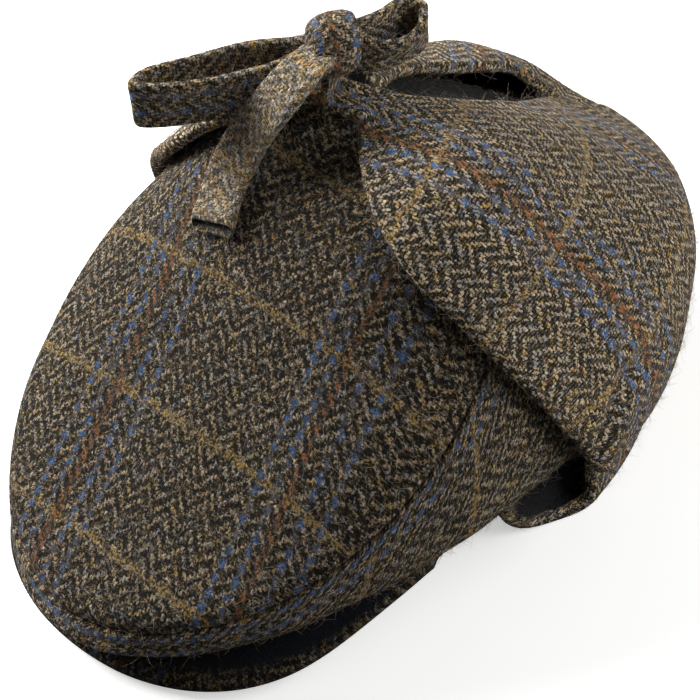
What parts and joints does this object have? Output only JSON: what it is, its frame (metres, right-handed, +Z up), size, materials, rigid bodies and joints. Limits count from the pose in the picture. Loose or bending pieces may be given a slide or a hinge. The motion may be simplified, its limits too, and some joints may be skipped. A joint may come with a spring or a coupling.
{
  "type": "flat cap with tied-up ear flaps",
  "caption": "Wool tweed flat cap with a sloping crown, a short peak, and ear flaps folded up over the crown and tied on top in a bow.",
  "frame": {"origin": "on the floor, under the middle of the whole cap", "axes": "+Z up, +Y from the peak towards the back, +X to the wearer's left"},
  "size_m": [0.204, 0.2762, 0.1658],
  "materials": {
    "crown_tweed": "brushed wool herringbone",
    "band_tweed": "brushed wool herringbone",
    "peak_tweed": "brushed wool herringbone",
    "flap_tweed": "brushed wool herringbone",
    "tie_tweed": "brushed wool herringbone"
  },
  "bodies": {
    "root": {"crown_top": "crown_tweed", "crown_side": "band_tweed", "peak": "peak_tweed", "ear_flap_left": "flap_tweed", "ear_flap_right": "flap_tweed", "bow_knot": "tie_tweed", "bow_loop_right": "tie_tweed", "bow_loop_left": "tie_tweed", "bow_tail_front": "tie_tweed", "bow_tail_back": "tie_tweed"}
  },
  "joints": []
}
